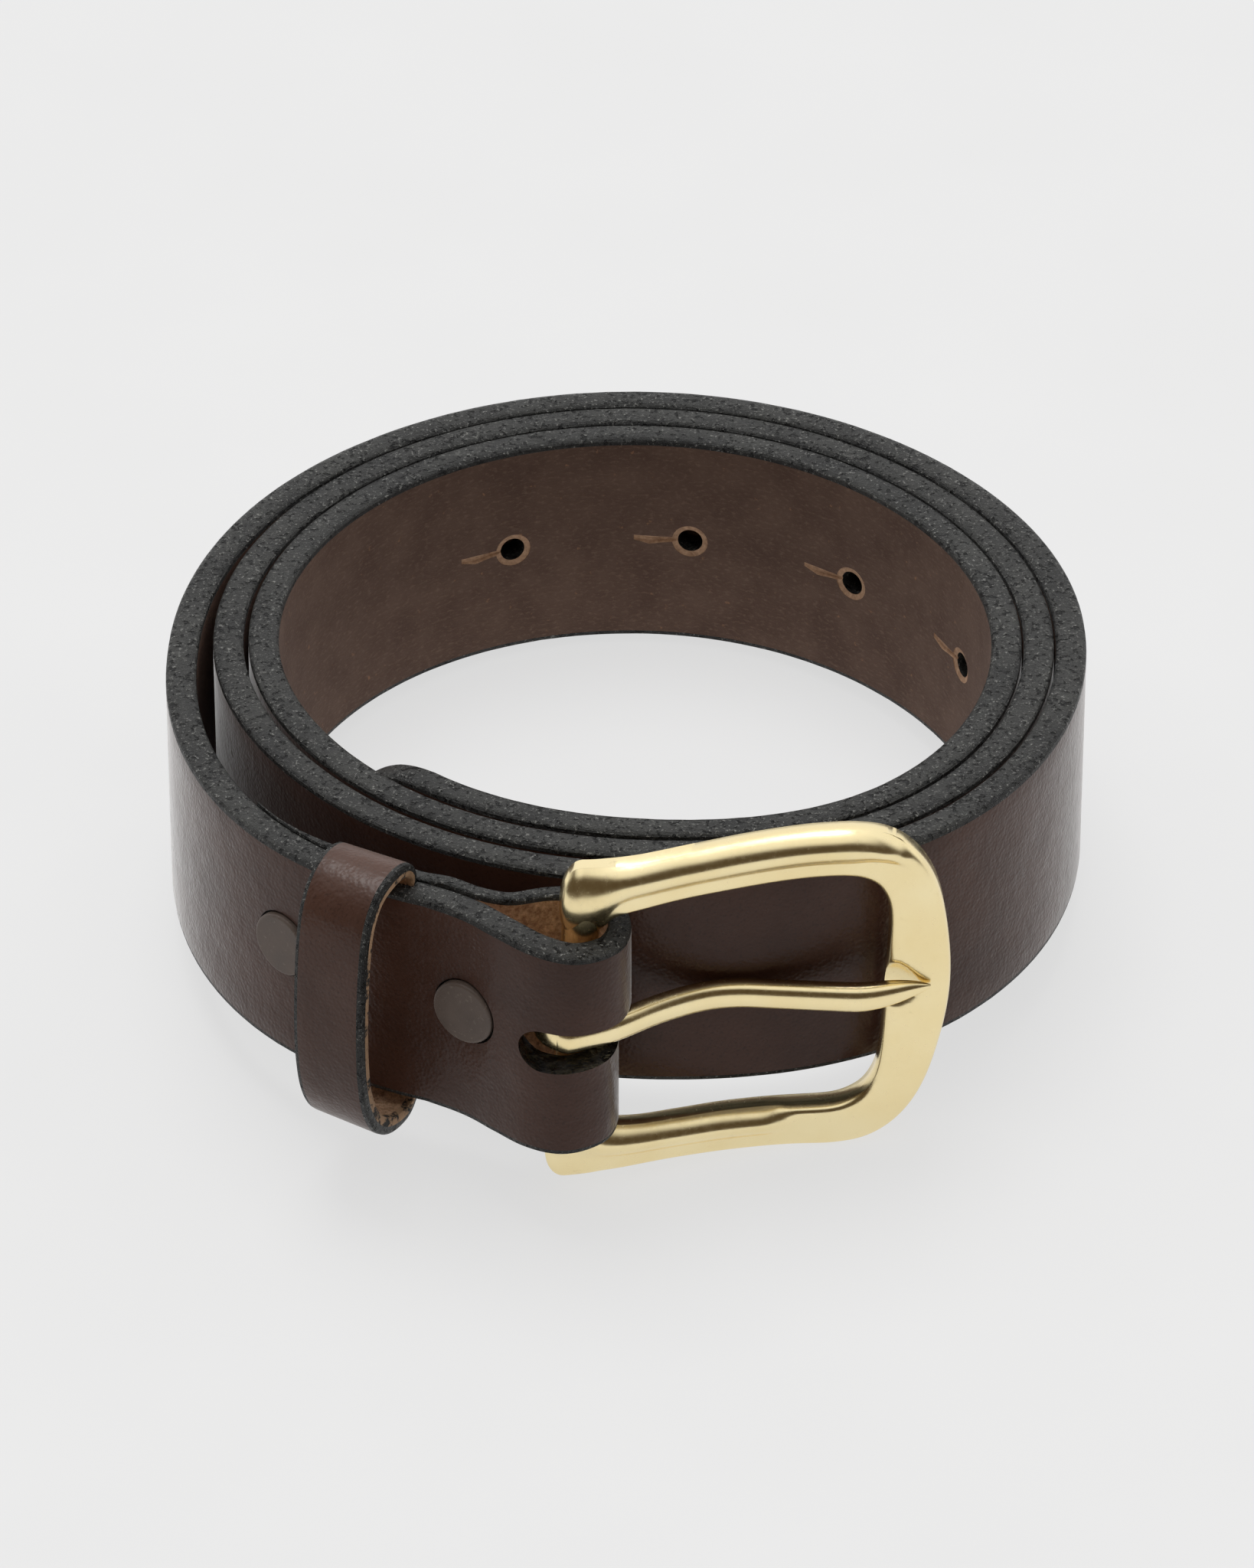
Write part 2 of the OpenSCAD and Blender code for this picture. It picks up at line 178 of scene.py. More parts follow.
def loft(name, rings, ring_closed=False, kind_of=None, lengths=None):
    """Mesh through rings of points, with capped ends, or joined in a loop.
    kind_of(i, k) is the material index between rings i and i + 1 at side k.
    Its UV map runs along the rings and round them, in metres."""
    n = len(rings[0])
    count = len(rings)
    mesh = bpy.data.meshes.new(name)
    points = [p for ring in rings for p in ring]
    spans = count if ring_closed else count - 1
    faces = []
    kinds = []
    for i in range(spans):
        for k in range(n):
            a = i * n + k
            b = i * n + (k + 1) % n
            c = (i + 1) % count * n + (k + 1) % n
            d = (i + 1) % count * n + k
            faces.append((a, b, c, d))
            kinds.append(kind_of(i, k) if kind_of else 0)
    if not ring_closed:
        faces.append(tuple(reversed(range(n))))
        faces.append(tuple((count - 1) * n + k for k in range(n)))
        end_kind = kind_of(0, 0) if kind_of else 0
        kinds += [end_kind, end_kind]
    mesh.from_pydata(points, [], faces)
    mesh.polygons.foreach_set("material_index", kinds)
    round_ring = [0.0]
    for k in range(n):
        step = Vector(rings[0][(k + 1) % n]) - Vector(rings[0][k])
        round_ring.append(round_ring[-1] + step.length * MM)
    uv = mesh.uv_layers.new(name="along")
    for index in range(spans * n):
        i, k = divmod(index, n)
        corners = ((i, k), (i, k + 1), (i + 1, k + 1), (i + 1, k))
        for loop, (row, column) in zip(mesh.polygons[index].loop_indices, corners):
            u = lengths[row] * MM if lengths else row * MM
            uv.data[loop].uv = (u, round_ring[column])
    return mesh


def lathe(name, profile, sides=64):
    """Mesh turned about z from a profile of (radius, height), closed at both ends."""
    rings = []
    for i in range(sides):
        a = 2 * math.pi * i / sides
        rings.append([(r * math.cos(a), r * math.sin(a), z) for r, z in profile])
    mesh = bpy.data.meshes.new(name)
    n = len(profile)
    points = [p for ring in rings for p in ring]
    faces = []
    for i in range(sides):
        j = (i + 1) % sides
        for k in range(n - 1):
            faces.append((i * n + k, j * n + k, j * n + k + 1, i * n + k + 1))
    faces.append(tuple(i * n for i in reversed(range(sides))))
    faces.append(tuple(i * n + n - 1 for i in range(sides)))
    mesh.from_pydata(points, [], faces)
    return mesh


def smooth(obj, angle=35):
    """Smooth shading, with creases where faces meet at more than an angle."""
    obj.data.shade_smooth()
    obj.data.set_sharp_from_angle(angle=math.radians(angle))


def apply_modifiers(obj):
    """Keeps the shape that the modifiers give and drops them."""
    graph = bpy.context.evaluated_depsgraph_get()
    shaped = bpy.data.meshes.new_from_object(obj.evaluated_get(graph))
    old = obj.data
    obj.modifiers.clear()
    obj.data = shaped
    bpy.data.meshes.remove(old)


def weld(obj):
    """Joins points that share a place and drops slivers without area."""
    reach = 1e-6
    solid = bmesh.new()
    solid.from_mesh(obj.data)
    bmesh.ops.remove_doubles(solid, verts=solid.verts, dist=reach)
    bmesh.ops.dissolve_degenerate(solid, edges=solid.edges, dist=reach)
    solid.to_mesh(obj.data)
    solid.free()


def cut(obj, cutters):
    """Cuts objects out of obj, whose new walls take the cutters' materials."""
    for cutter in cutters:
        modifier = obj.modifiers.new("cut", "BOOLEAN")
        modifier.object = cutter
        modifier.solver = "EXACT"
        modifier.material_mode = "TRANSFER"
    apply_modifiers(obj)
    for cutter in cutters:
        bpy.data.objects.remove(cutter)
    weld(obj)


def join(objects):
    """Joins objects that share no space into the first of them."""
    target = bmesh.new()
    first = objects[0]
    for obj in objects:
        target.from_mesh(obj.data)
    target.to_mesh(first.data)
    target.free()
    for obj in objects[1:]:
        bpy.data.objects.remove(obj)
    return first


# ---------- material helpers ----------
class Shader:
    """Short calls for building one procedural material."""

    def __init__(self, name):
        self.material = bpy.data.materials.new(name)
        self.material.use_nodes = True
        self.tree = self.material.node_tree
        self.surface = self.tree.nodes["Principled BSDF"]
        self.where = self.tree.nodes.new("ShaderNodeTexCoord").outputs["Object"]

    def node(self, kind, values=None, links=None):
        made = self.tree.nodes.new(kind)
        for key, value in (values or {}).items():
            if key in made.inputs:
                made.inputs[key].default_value = value
            else:
                setattr(made, key, value)
        for key, source in (links or {}).items():
            self.tree.links.new(source, made.inputs[key])
        return made

    def along(self, stretch):
        """Coordinates along the strap, stretched by (along, across)."""
        uv = self.node("ShaderNodeUVMap", {"uv_map": "along"}).outputs[0]
        values = {"Scale": (*stretch, 1)}
        return self.node("ShaderNodeMapping", values, {"Vector": uv}).outputs[0]

    def noise(self, scale, detail=3, rough=0.5, where=None):
        values = {"Scale": scale, "Detail": detail, "Roughness": rough}
        links = {"Vector": where or self.where}
        return self.node("ShaderNodeTexNoise", values, links).outputs["Fac"]

    def cells(self, scale):
        values = {"Scale": scale, "feature": "SMOOTH_F1", "Smoothness": 0.6}
        links = {"Vector": self.where}
        return self.node("ShaderNodeTexVoronoi", values, links).outputs["Distance"]

    def spread(self, source, low, high, to_low=0.0, to_high=1.0):
        """Maps a range of a value to another range, clamped."""
        values = {"From Min": low, "From Max": high, "To Min": to_low, "To Max": to_high}
        return self.node("ShaderNodeMapRange", values, {"Value": source}).outputs[0]

    def mix(self, factor, a, b):
        made = self.node("ShaderNodeMix", {"data_type": "RGBA"})
        for key, value in ((0, factor), (6, a), (7, b)):
            if hasattr(value, "is_linked"):
                self.tree.links.new(value, made.inputs[key])
            else:
                made.inputs[key].default_value = value if key == 0 else (*value, 1)
        return made.outputs[2]

    def math(self, operation, a, b):
        made = self.node("ShaderNodeMath", {"operation": operation})
        for key, value in ((0, a), (1, b)):
            if hasattr(value, "is_linked"):
                self.tree.links.new(value, made.inputs[key])
            else:
                made.inputs[key].default_value = value
        return made.outputs[0]

    def bump(self, height, distance, strength=1.0, below=None):
        """Small relief; below is a relief that this one lies on."""
        links = {"Height": height}
        if below:
            links["Normal"] = below
        values = {"Strength": strength, "Distance": distance}
        return self.node("ShaderNodeBump", values, links).outputs[0]

    def set(self, **values):
        """Sets the surface's sockets; a name's underscores stand for spaces."""
        for key, value in values.items():
            socket = self.surface.inputs[key.replace("_", " ")]
            if hasattr(value, "is_linked"):
                self.tree.links.new(value, socket)
            elif isinstance(value, tuple):
                socket.default_value = (*value, 1)
            else:
                socket.default_value = value
        return self.material


# ---------- materials ----------
def grain_leather(name, dark, light, sheen):
    """Smooth dyed leather: fine pebbled grain, soft creases and a satin finish."""
    s = Shader(name)
    cloud = s.noise(70, 4)
    mottle = s.noise(600, 3)
    colour = s.mix(s.spread(cloud, 0.3, 0.7), dark, light)
    pores = s.spread(s.noise(2600, 2), 0.56, 0.7)
    colour = s.mix(s.math("MULTIPLY", pores, 0.4), colour, tuple(c * 0.4 for c in dark))
    rough = s.spread(mottle, 0.3, 0.7, 0.27, 0.37)
    creases = s.bump(s.noise(130, 4, 0.6), 0.0006, 0.35)
    wrinkles = s.bump(s.noise(700, 3, 0.6), 0.00012, 0.35, creases)
    pebble = s.bump(s.cells(2000), 0.00008, 0.5, wrinkles)
    return s.set(Base_Color=colour, Roughness=rough, Normal=pebble, Specular_IOR_Level=0.24,
                 Sheen_Weight=sheen, Sheen_Roughness=0.3)


def flesh_leather():
    """The strap's inner face: dull, mottled, with fine fibres and tan flecks."""
    s = Shader("flesh_side")
    cloud = s.noise(160, 5, 0.6)
    fibres = s.noise(1100, 5, 0.7, s.along((1, 2)))
    colour = s.mix(s.spread(cloud, 0.35, 0.65), (0.102, 0.056, 0.039), (0.140, 0.083, 0.059))
    threads = s.spread(fibres, 0.52, 0.66)
    colour = s.mix(s.math("MULTIPLY", threads, 0.55), colour, (0.24, 0.15, 0.105))
    flecks = s.spread(s.noise(800, 3, 0.6), 0.68, 0.74)
    colour = s.mix(s.math("MULTIPLY", flecks, 0.7), colour, (0.34, 0.17, 0.09))
    relief = s.bump(fibres, 0.0003, 0.6)
    return s.set(Base_Color=colour, Roughness=0.75, Normal=relief, Specular_IOR_Level=0.35)


def suede_leather():
    """Rough skived leather inside the fold."""
    s = Shader("skived_suede")
    fibres = s.noise(1200, 6, 0.72)
    colour = s.mix(s.spread(fibres, 0.35, 0.65), (0.32, 0.17, 0.10), (0.80, 0.52, 0.33))
    relief = s.bump(fibres, 0.0008, 0.9)
    return s.set(Base_Color=colour, Roughness=0.95, Normal=relief, Specular_IOR_Level=0.2)


def edge_leather():
    """Cut edges, dyed black: layered lines along them, pits, and grey specks that are painted
    glints of light over a fine grit relief.
    """
    s = Shader("dyed_edge")
    lines = s.noise(300, 5, 0.7, s.along((0.22, 3.2)))
    grit_and_glints = s.noise(2200, 4, 0.75)
    colour = s.mix(s.spread(lines, 0.35, 0.65), (0.008, 0.008, 0.008), (0.036, 0.036, 0.033))
    # Painted highlights: these grey specks in the colour stand in for glints of light on the edge;
    # the same noise also gives a real grit relief below
    colour = s.mix(s.spread(grit_and_glints, 0.58, 0.66), colour, (0.24, 0.24, 0.225))
    pits = s.spread(s.noise(1100, 3, 0.6), 0.32, 0.42)
    colour = s.mix(pits, (0.002, 0.002, 0.002), colour)
    relief = s.bump(lines, 0.0011, 0.85)
    relief = s.bump(pits, 0.0006, 0.8, relief)
    relief = s.bump(grit_and_glints, 0.0004, 0.9, relief)
    return s.set(Base_Color=colour, Roughness=0.36, Normal=relief, Specular_IOR_Level=0.28)


def raw_leather():
    """Undyed tan fibres, where the leather was cut after dyeing."""
    s = Shader("raw_tan")
    fibres = s.noise(1500, 5, 0.7)
    colour = s.mix(s.spread(fibres, 0.3, 0.7), (0.30, 0.17, 0.10), (0.60, 0.39, 0.25))
    return s.set(Base_Color=colour, Roughness=0.9, Normal=s.bump(fibres, 0.0003, 0.6))


def frayed_leather():
    """The inner rim of a dyed edge, where tan fibres show through in places."""
    s = Shader("frayed_rim")
    worn = s.spread(s.noise(450, 4, 0.7), 0.42, 0.50)
    colour = s.mix(worn, (0.015, 0.014, 0.012), (0.42, 0.26, 0.15))
    return s.set(Base_Color=colour, Roughness=0.8, Normal=s.bump(s.noise(1800, 3), 0.0003, 0.6))


def slot_paint():
    """Thick glossy black paint on the walls of the prong's slot."""
    s = Shader("slot_paint")
    waves = s.noise(700, 3)
    colour = s.mix(s.spread(waves, 0.4, 0.65), (0.010, 0.010, 0.011), (0.04, 0.04, 0.042))
    return s.set(Base_Color=colour, Roughness=0.13, Normal=s.bump(waves, 0.0006, 0.8))


def satin_brass():
    """Solid brass with a soft satin polish and faint handling marks."""
    s = Shader("satin_brass")
    cloud = s.noise(120, 3)
    marks = s.noise(1400, 4, 0.6)
    colour = s.mix(s.spread(cloud, 0.3, 0.7), (0.93, 0.77, 0.43), (0.97, 0.83, 0.50))
    stains = s.spread(s.noise(420, 5, 0.7), 0.64, 0.76)
    colour = s.mix(s.math("MULTIPLY", stains, 0.25), colour, (0.45, 0.32, 0.13))
    rough = s.spread(marks, 0.3, 0.7, 0.20, 0.28)
    relief = s.bump(s.noise(350, 2), 0.00005, 0.06)
    return s.set(Base_Color=colour, Metallic=1.0, Roughness=rough, Normal=relief)


def cap_paint():
    """Matte brown paint on the screw posts, worn a little on its high spots."""
    s = Shader("cap_paint")
    cloud = s.noise(300, 4)
    colour = s.mix(s.spread(cloud, 0.3, 0.7), (0.088, 0.062, 0.048), (0.130, 0.096, 0.078))
    specks = s.spread(s.noise(1700, 3), 0.62, 0.72)
    colour = s.mix(s.math("MULTIPLY", specks, 0.4), colour, (0.25, 0.2, 0.16))
    relief = s.bump(s.noise(2500, 2), 0.00004, 0.5)
    return s.set(Base_Color=colour, Roughness=s.spread(cloud, 0.3, 0.7, 0.5, 0.62), Normal=relief)


def staple_steel():
    """Drawn steel wire."""
    s = Shader("staple_steel")
    scratches = s.noise(2500, 3)
    colour = s.mix(s.spread(scratches, 0.3, 0.7), (0.42, 0.42, 0.44), (0.62, 0.62, 0.64))
    rough = s.spread(scratches, 0.3, 0.7, 0.28, 0.42)
    return s.set(Base_Color=colour, Metallic=1.0, Roughness=rough)


def floor_paper():
    """Matte paper, which also glows evenly so that shadows on it stay pale."""
    s = Shader("floor_paper")
    colour = s.mix(s.spread(s.noise(30, 3), 0.3, 0.7), (0.15, 0.15, 0.15), (0.16, 0.16, 0.16))
    return s.set(Base_Color=colour, Roughness=1.0, Specular_IOR_Level=0.0,
                 Emission_Color=(1.0, 1.0, 1.0), Emission_Strength=FLOOR_GLOW)


GRAIN = grain_leather("strap_grain", (0.046, 0.0175, 0.0100), (0.074, 0.031, 0.019), 0.7)
KEEPER_GRAIN = grain_leather("keeper_grain", (0.055, 0.026, 0.018), (0.088, 0.043, 0.030), 0.25)
FLESH = flesh_leather()
SUEDE = suede_leather()
EDGE = edge_leather()
RAW = raw_leather()
FRAYED = frayed_leather()
SLOT_PAINT = slot_paint()
BRASS = satin_brass()
CAP_PAINT = cap_paint()
STEEL = staple_steel()

# ---------- strap ----------
FACE_ROWS = 10
EDGE_SIDES = 8
EDGE_BEVEL = 0.9
COIL_VISUAL_STEP = 2
FOLD_STEPS = 8
# How far the leather's upper edge dips round the heel bar
FOLD_DIP = 1.1
# Stations of the folded end and the fold itself
SUEDE_STATIONS = len(RETURN_TURNS) - 1 + FOLD_STEPS * (len(FOLD_LINE) + 1)
# The folded end is skived from this turn on, over this many degrees, and
# loses this share of its thickness
SKIVE_TURN = 30
SKIVE_SPAN = 20
SKIVE_SHARE = 0.85
TIP_STEPS = 24
TIP_LEAST_W = 0.9
# How uneven the cut edges are
EDGE_WAVE = 0.07


def strap_line():
    """The strap's middle line from its folded end to its tip, as
    (x, y, thickness, share of the leg step, half width)."""
    line = []
    for turn in RETURN_TURNS:
        skived = ease((turn - SKIVE_TURN) / SKIVE_SPAN)
        t = RETURN_T * (1 - SKIVE_SHARE * skived)
        back = STRAP_T / 2 + RETURN_GAP * (1 - skived) + 0.03 + t / 2
        p = coil_point(turn) - coil_out(turn) * back
        line.append((p.x, p.y, t, 0))
    coil = [(*coil_point(turn), STRAP_T, 0) for turn in (COIL_START, COIL_JOIN)]
    line = line[:-1] + blend_points(line[-2:] + FOLD_LINE[::-1] + coil, FOLD_STEPS)
    stations = [(*p, TIP_R) for p in line]
    turn = COIL_START
    while turn < TIP_MIDDLE_TURN:
        stations.append((*coil_point(turn), STRAP_T, 0, TIP_R))
        turn += COIL_VISUAL_STEP
    degree_l = math.radians(1) * coil_radius(TIP_MIDDLE_TURN)
    for k in range(TIP_STEPS + 1):
        a = math.pi / 2 * k / TIP_STEPS
        turn = TIP_MIDDLE_TURN + TIP_R * math.sin(a) / degree_l
        half_w = max(TIP_R * math.cos(a), TIP_LEAST_W)
        stations.append((*coil_point(turn), STRAP_T, 0, half_w))
    return stations


def strap_section(half_t, half_w):
    """Outline of the strap's section as (outward, up), round its crowned edges.
    It starts at the foot of the outer face."""
    bevel = min(EDGE_BEVEL, half_w * 0.6)
    side = half_w - bevel
    points = [(half_t, -side + 2 * side * k / FACE_ROWS) for k in range(FACE_ROWS)]
    for sign in (1, -1):
        for k in range(EDGE_SIDES + (sign < 0)):
            a = math.pi * k / EDGE_SIDES
            c = math.cos(a)
            u = half_t * math.copysign(math.sqrt(abs(c)), c)
            z = side + bevel * math.sqrt(abs(math.sin(a)))
            points.append((sign * u, sign * z))
        if sign > 0:
            points += [(-half_t, side - 2 * side * k / FACE_ROWS) for k in range(FACE_ROWS)]
    return points[:-1]


def strap_kind(i, k):
    """0 for grain, 1 for flesh, 2 for edge and 3 for the suede inside the fold."""
    if k < FACE_ROWS:
        return 0
    if k < FACE_ROWS + EDGE_SIDES:
        return 2
    if k < 2 * FACE_ROWS + EDGE_SIDES:
        return 3 if i < SUEDE_STATIONS else 1
    return 2


def strap_rings():
    """The strap's sections and each one's length along it. The two sides of
    the fold step apart sideways, and the upper edge dips round the heel bar."""
    stations = strap_line()
    rings = []
    lengths = [0.0]
    for i, (x, y, t, share, half_w) in enumerate(stations):
        before = Vector(stations[max(i - 1, 0)][:2])
        after = Vector(stations[min(i + 1, len(stations) - 1)][:2])
        d = (after - before).normalized()
        n = Vector((-d.y, d.x))
        if i:
            lengths.append(lengths[-1] + (Vector((x, y)) - before).length)
        ring = []
        for u, w in strap_section(t / 2, half_w):
            leg = LEG_STEP * share * (2 * ease((w + 3) / 6) - 1)
            wave = noise.noise(Vector((lengths[-1] * 0.25, u * 0.6, w * 0.05)))
            edge = 1 if abs(w) > half_w - EDGE_BEVEL * 0.7 else 0
            lift = EDGE_WAVE * wave * edge * math.copysign(1, w)
            px = x + n.x * u + leg
            py = y + n.y * u
            dip = FOLD_DIP * share * ease(w / half_w)
            ring.append((px, py, TIP_R + w - dip - abs(lift) * math.copysign(1, w)))
        rings.append(ring)
    return rings, lengths


def slot_cutter():
    """Long hole with one round end, cut right through the folded leather."""
    r = SLOT_H / 2
    round_x = -8.6
    right_x = 3.3
    front_y = -70
    back_y = -49.45
    steps = 24
    arc = [math.radians(90 + 180 * k / steps) for k in range(steps + 1)]
    outline = [(round_x + r * math.cos(a), r * math.sin(a)) for a in arc]
    outline += [(right_x, -r), (right_x, r)]
    rings = [[(x, y, TIP_R + z) for x, z in outline] for y in (front_y, back_y)]
    return add_object("slot_cutter", loft("slot_cutter", rings), RESTING, [SLOT_PAINT])


def channel_cutter():
    """Shallow channel behind the front layer for the keeper's back."""
    depth = 1.65
    past = 0.07
    half_w = 5.5
    steps = 3
    back = -STRAP_T / 2 - past
    front = -STRAP_T / 2 + depth
    low = -1
    high = STRAP_W + 1
    rings = []
    for k in range(-steps, steps + 1):
        turn = KEEPER_TURN + k * half_w / steps / math.radians(1) / coil_radius(KEEPER_TURN)
        p = coil_point(turn)
        n = coil_out(turn)
        ring = []
        for u, z in ((back, low), (back, high), (front, high), (front, low)):
            ring.append((p.x + n.x * u, p.y + n.y * u, z))
        rings.append(ring)
    return add_object("channel_cutter", loft("channel_cutter", rings), RESTING, [FLESH])


# The slit beside a size hole: distance along the strap, half width, depth
SLIT_LINE = [(0.4, 0.34, 0.4), (3, 0.50, 0.38), (5.6, 0.74, 0.3), (7.6, 0.45, 0.1)]
# A frayed rim: its width outside the hole, its depth at the hole and outside
RIM_W = 0.75
RIM_DEEP = 0.25
RIM_SHALLOW = 0.03
HOLE_SIDES = 40
# How far cutters stand out of the leather's faces
CUT_PAST = 0.12


def hole_cutters():
    """For each size hole: the slit on the flesh side where the prong pulls, a
    frayed rim on both faces, and the hole itself."""
    slits = []
    rims = []
    holes = []
    half = STRAP_T / 2
    for i in range(HOLE_COUNT):
        turn = FIRST_HOLE_TURN + i * HOLE_STEP
        rings = []
        for along, width, deep in SLIT_LINE:
            sag = along * along / 2 / coil_radius(turn)
            lift = 0.25 * math.sin(along)
            top = -half - CUT_PAST - sag
            low = -half + deep - sag
            z = TIP_R + lift
            floor_w = width * 0.4
            rings.append([(top, along, z - width), (top, along, z + width),
                          (low, along, z + floor_w), (low, along, z - floor_w)])
        slits.append(add_object("slit_cutter", loft("slit_cutter", rings), at_turn(turn), [RAW]))
        place = at_turn(turn) @ Matrix.Translation((0, 0, TIP_R))
        place = place @ Matrix.Rotation(math.pi / 2, 4, "Y")
        rim = HOLE_R + RIM_W
        for side in (-1, 1):
            profile = [
                (HOLE_R - 0.1, side * (half - RIM_DEEP)),
                (rim, side * (half - RIM_SHALLOW)),
                (rim, side * (half + CUT_PAST)),
            ]
            cutter = lathe("rim_cutter", profile, HOLE_SIDES)
            rims.append(add_object("rim_cutter", cutter, place, [RAW]))
        profile = [(HOLE_R, -half - CUT_PAST), (HOLE_R, half + CUT_PAST)]
        cutter = lathe("hole_cutter", profile, HOLE_SIDES)
        holes.append(add_object("hole_cutter", cutter, place, [EDGE]))
    return [join(slits), join(rims), join(holes)]


def post_cutters():
    """Bores for the posts, with a seat for each cap and a recess for each screw."""
    bore_r = 2.6
    recess_r = 3.4
    recess_l = 1.8
    seat_r = 4.5
    seat = STRAP_T / 2 - 0.4
    rim = STRAP_T / 2 - 0.25
    past = STRAP_T / 2 + 1.5
    made = []
    for post in POSTS:
        reach = post[3]
        profile = [(recess_r, -reach - recess_l), (recess_r, -reach), (bore_r, -reach),
                   (bore_r, seat), (seat_r, seat), (seat_r + 0.1, rim), (seat_r + 0.4, past)]
        made.append(add_object("post_cutter", lathe("post_cutter", profile), at_post(post), [EDGE]))
    return made


def strap():
    rings, lengths = strap_rings()
    mesh = loft("strap_leather", rings, kind_of=strap_kind, lengths=lengths)
    obj = add_object("strap_leather", mesh, RESTING, [GRAIN, FLESH, EDGE, SUEDE])
    cut(obj, [*hole_cutters(), join(post_cutters()), slot_cutter(), channel_cutter()])
    smooth(obj)
    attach(obj, "belt")
    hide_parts("strap")


# ---------- keeper ----------
# The free part of the loop, from the channel over the front and back under
# it: outward, up, share of the full thickness
KEEPER_LINE = [
    (-1.5, 33.0, 0.6), (0.1, 34.8, 0.8), (3.4, 35.4, 1), (6.8, 34.4, 1), (9.2, 31.4, 1),
    (10.4, 26.6, 1), (11, 21, 1), (11.3, 15, 1), (11.1, 9.5, 1), (10.1, 4.4, 1), (8, 0.4, 1),
    (4.8, -2.1, 1), (1.3, -2.8, 0.8), (-1.0, -1.4, 0.5),
]
KEEPER_BACK_T = 1
KEEPER_MID = -STRAP_T / 2 + 0.35 + KEEPER_BACK_T / 2
# Heights of the thin back in the channel: top of it, foot of it, and between
KEEPER_TOP = (28, 31)
KEEPER_FOOT = (1, 4)
KEEPER_BETWEEN = (10, 16, 22)
KEEPER_ROWS = 6
KEEPER_SIDES = 6
# Sides of the section on the inner rims, where the edge dye is worn
KEEPER_WORN = (9, 10, 11, 12, 17, 18, 19, 20)
# How far one edge comes out in front, where the other goes in as far
KEEPER_SKEW = 0.45


def keeper_section(half_t, half_w):
    """Outline across the keeper as (outward, along), with crowned edges."""
    bevel = min(0.7, half_t)
    side = half_w - bevel
    points = [(half_t, -side + 2 * side * k / KEEPER_ROWS) for k in range(KEEPER_ROWS)]
    inner = [side, side - 0.3] + [side * (1 - k / 2) for k in (1, 2, 3)] + [0.3 - side]
    for sign in (1, -1):
        for k in range(KEEPER_SIDES):
            a = math.pi * k / KEEPER_SIDES
            c = math.cos(a)
            points.append((sign * half_t * math.copysign(math.sqrt(abs(c)), c),
                           sign * (side + bevel * math.sqrt(abs(math.sin(a))))))
        if sign > 0:
            points += [(-half_t, w) for w in inner]
    return points


def keeper():
    ends = [(KEEPER_MID, z, KEEPER_BACK_T) for z in KEEPER_TOP]
    ends += [(x, y, t * KEEPER_T) for x, y, t in KEEPER_LINE]
    ends += [(KEEPER_MID, z, KEEPER_BACK_T) for z in KEEPER_FOOT]
    line = blend_points(ends, 6) + ends[-2:]
    line += [(KEEPER_MID, z, KEEPER_BACK_T) for z in KEEPER_BETWEEN] + ends[:1]
    count = len(line)
    rings = []
    lengths = [0.0]
    for i, (x, y, t) in enumerate(line):
        before = Vector(line[i - 1][:2])
        after = Vector(line[(i + 1) % count][:2])
        d = (after - before).normalized()
        n = Vector((-d.y, d.x))
        lengths.append(lengths[-1] + (after - Vector((x, y))).length)
        skew = KEEPER_SKEW * ease((x - 1) / 6)
        ring = []
        for u, w in keeper_section(t / 2, KEEPER_W / 2):
            ring.append((x + n.x * u - skew * w / (KEEPER_W / 2), y + n.y * u, w))
        rings.append(ring)

    def kind_of(_, k):
        """0 for grain, 1 for suede, 2 for edge and 3 for the frayed inner rims."""
        if k < KEEPER_ROWS:
            return 0
        if k in KEEPER_WORN:
            return 3
        inner = k - KEEPER_ROWS - KEEPER_SIDES
        return 1 if 0 < inner < KEEPER_ROWS - 1 else 2

    mesh = loft("keeper_leather", rings, True, kind_of, lengths)
    obj = add_object("keeper_leather", mesh, AT_KEEPER, [KEEPER_GRAIN, SUEDE, EDGE, FRAYED])
    smooth(obj)
    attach(obj, "belt")
    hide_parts("keeper_loop")


# ---------- buckle ----------
# How far back the frame's middle sits, once every 7 mm from the heel bar
BOW_STEP = 7
FRAME_BOW = [-0.6, 0, 1.4, 4.1, 6.6, 8.5, 9.6, 10.6, 11.6, 12.6]
# Upper half of the frame seen from the front, from its rounded end to the
# middle of the front bar: outer x, outer z, inner x, inner z, share of depth
FRAME_HALF = [
    (-0.2, 24.1, -0.2, 13.9, 1), (1.3, 24.05, 1.2, 14.0, 1), (3.0, 24.0, 2.8, 15.0, 1),
    (4.9, 23.9, 4.6, 16.4, 1), (9, 23.9, 9, 17.1, 1), (14, 24.0, 14, 17.4, 1),
    (19, 24.2, 19, 17.5, 1), (24, 24.4, 24, 17.7, 1), (30, 24.6, 30, 17.9, 1),
    (34.5, 24.6, 33.6, 17.8, 1), (38.4, 23.8, 35.8, 17.2, 1), (41.6, 21.7, 37.6, 15.9, 1),
    (44.1, 18.4, 38.8, 13.6, 1), (45.8, 14.2, 39.3, 10.7, 0.96), (47.0, 8.6, 39.4, 6.5, 0.94),
    (47.7, 2.8, 39.4, 2.4, 0.92),
]
# How much higher the upper arm sits, and how much narrower the lower arm is
ARM_LIFT = 0.4
ARM_CUT = 0.6
# The prong's rest in the front bar: a groove that widens into a scoop above
# the prong, and rises to the bar's face from REST_X over REST_L
REST_Y = 7.7
REST_R = 3.2
REST_X = 40.5
REST_L = 5.5
REST_RISE = 1.6
SCOOP = 1.8
FRAME_STEPS = 8
FRONT_SIDES = 56
BACK_SIDES = 8
# Level of the flats as a share of the half depth, and how much lower the
# other side of the ridge is, reached within this share of the half width
FLAT_LEVEL = 0.66
SHOULDER_DROP = 0.7
SHOULDER_W = 0.3
# Level of the ridge where it meets the section's side
RIDGE_FOOT = -0.1
# Height at which the ridge stands clear of the flats, before that side drops
RIDGE_CLEAR = 0.69
